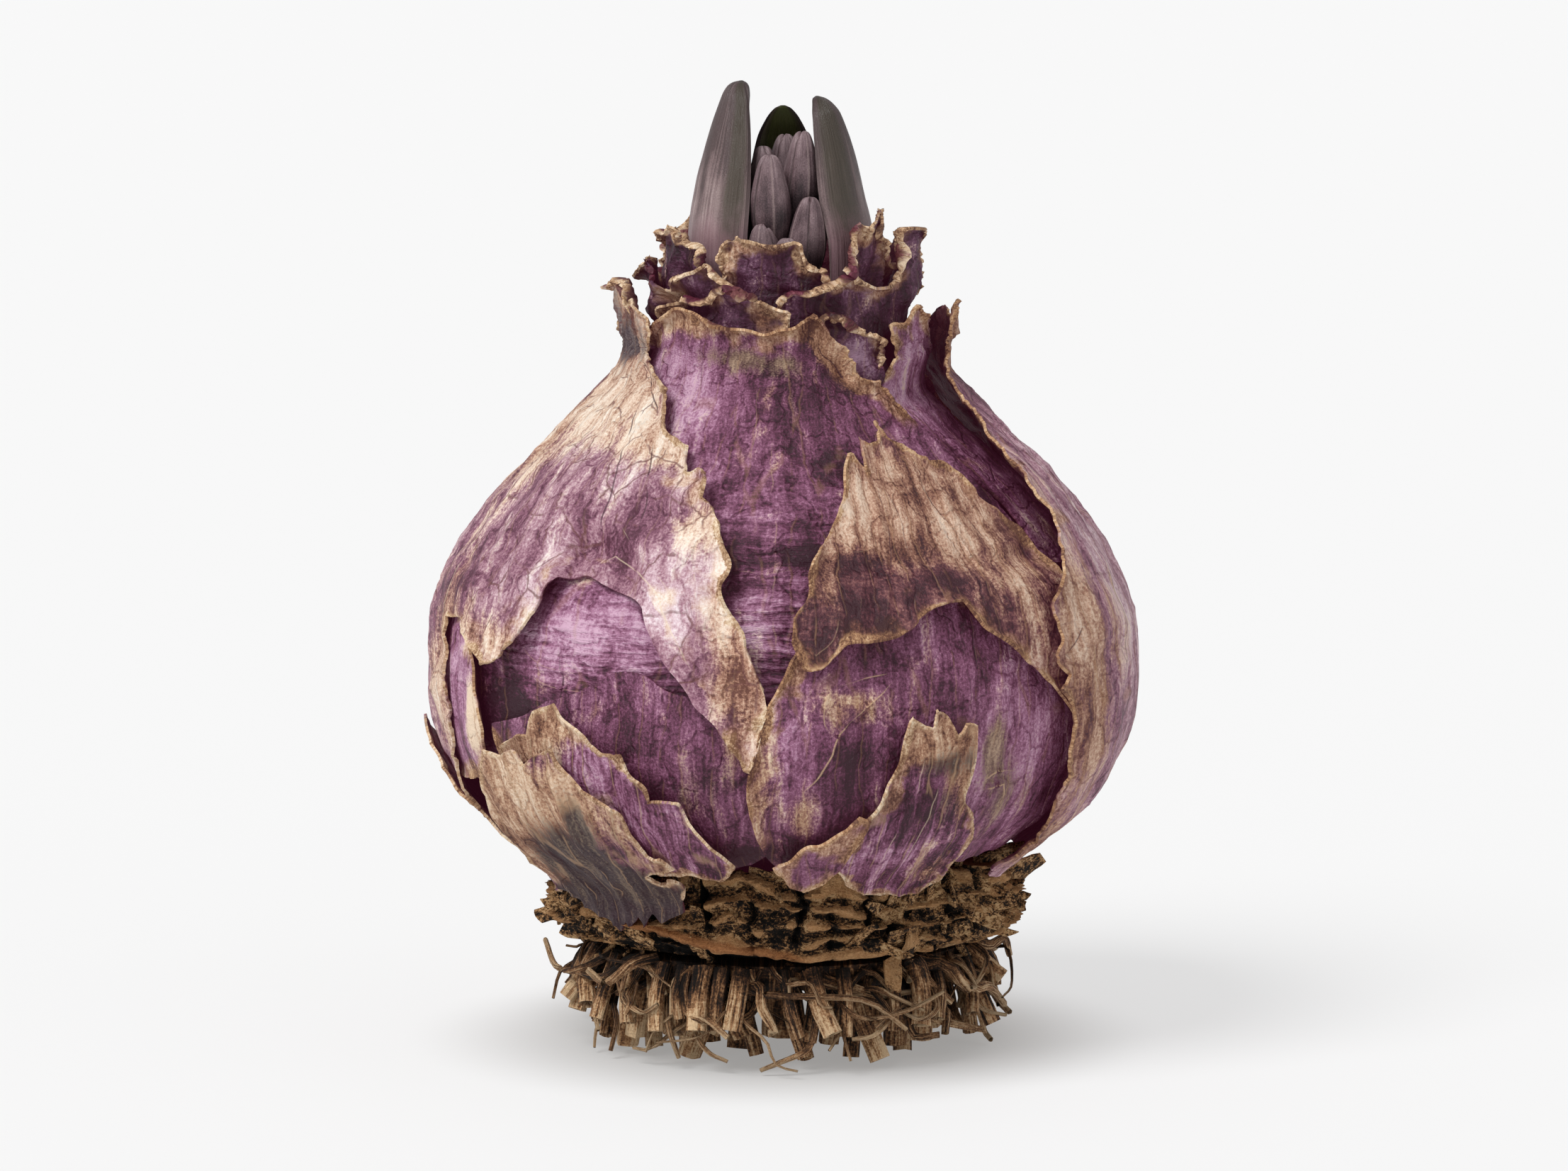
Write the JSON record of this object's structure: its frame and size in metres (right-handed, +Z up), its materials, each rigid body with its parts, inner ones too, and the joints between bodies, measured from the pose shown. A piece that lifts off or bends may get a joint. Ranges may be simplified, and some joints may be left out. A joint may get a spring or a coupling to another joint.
{
  "type": "hyacinth bulb with flower shoot",
  "caption": "Sprouting hyacinth bulb: torn purple papery skins over a fleshy bulb, a corky root plate with dried roots, and leaf tips round closed florets.",
  "frame": {"origin": "on the resting surface, under the bulb's axis", "axes": "+Z up along the bulb's axis to the shoot, -Y towards the front that the picture shows"},
  "size_m": [0.061, 0.0619, 0.0816],
  "materials": {
    "fleshy_scale": "satin, fine veins running up to the neck",
    "purple_skin": "satin papery skin, fibrous, with tan torn edges",
    "lilac_skin": "dry papery skin, blotched lilac and cream, with brown veins",
    "tan_skin": "dry ribbed skin, tan fading to purple",
    "cork": "rough, cracked and layered",
    "root": "dry, wrinkled lengthwise",
    "leaf": "waxy grey-purple over green, fine lengthwise lines",
    "floret": "waxy, smooth, with a pale ridge on each tepal"
  },
  "bodies": {
    "root": {"bulb_body": "fleshy_scale", "shoulder_tunic": "purple_skin", "right_shoulder_tunic": "purple_skin", "back_tunic": "purple_skin", "front_left_tunic": "purple_skin", "front_right_tunic": "purple_skin", "upper_right_tunic": "tan_skin", "left_tunic": "lilac_skin", "left_inner_tunic": "purple_skin", "right_tunic": "lilac_skin", "lower_left_flap": "tan_skin", "lower_left_inner_flap": "purple_skin", "lower_left_strip": "lilac_skin", "lower_right_flap": "tan_skin", "lower_front_flap": "purple_skin", "back_left_flap": "tan_skin", "back_right_flap": "tan_skin", "neck_collar_inner_front": "purple_skin", "neck_collar_inner_right": "purple_skin", "neck_collar_inner_left": "purple_skin", "neck_collar_inner_back": "purple_skin", "neck_collar_middle_left": "purple_skin", "neck_collar_middle_right": "purple_skin", "neck_collar_middle_back": "purple_skin", "neck_collar_low_front": "purple_skin", "neck_collar_low_right": "purple_skin", "basal_plate": "cork", "root_tuft": "root", "leaf_left": "leaf", "leaf_right": "leaf", "leaf_back": "leaf", "flower_bud": "floret"}
  },
  "joints": []
}
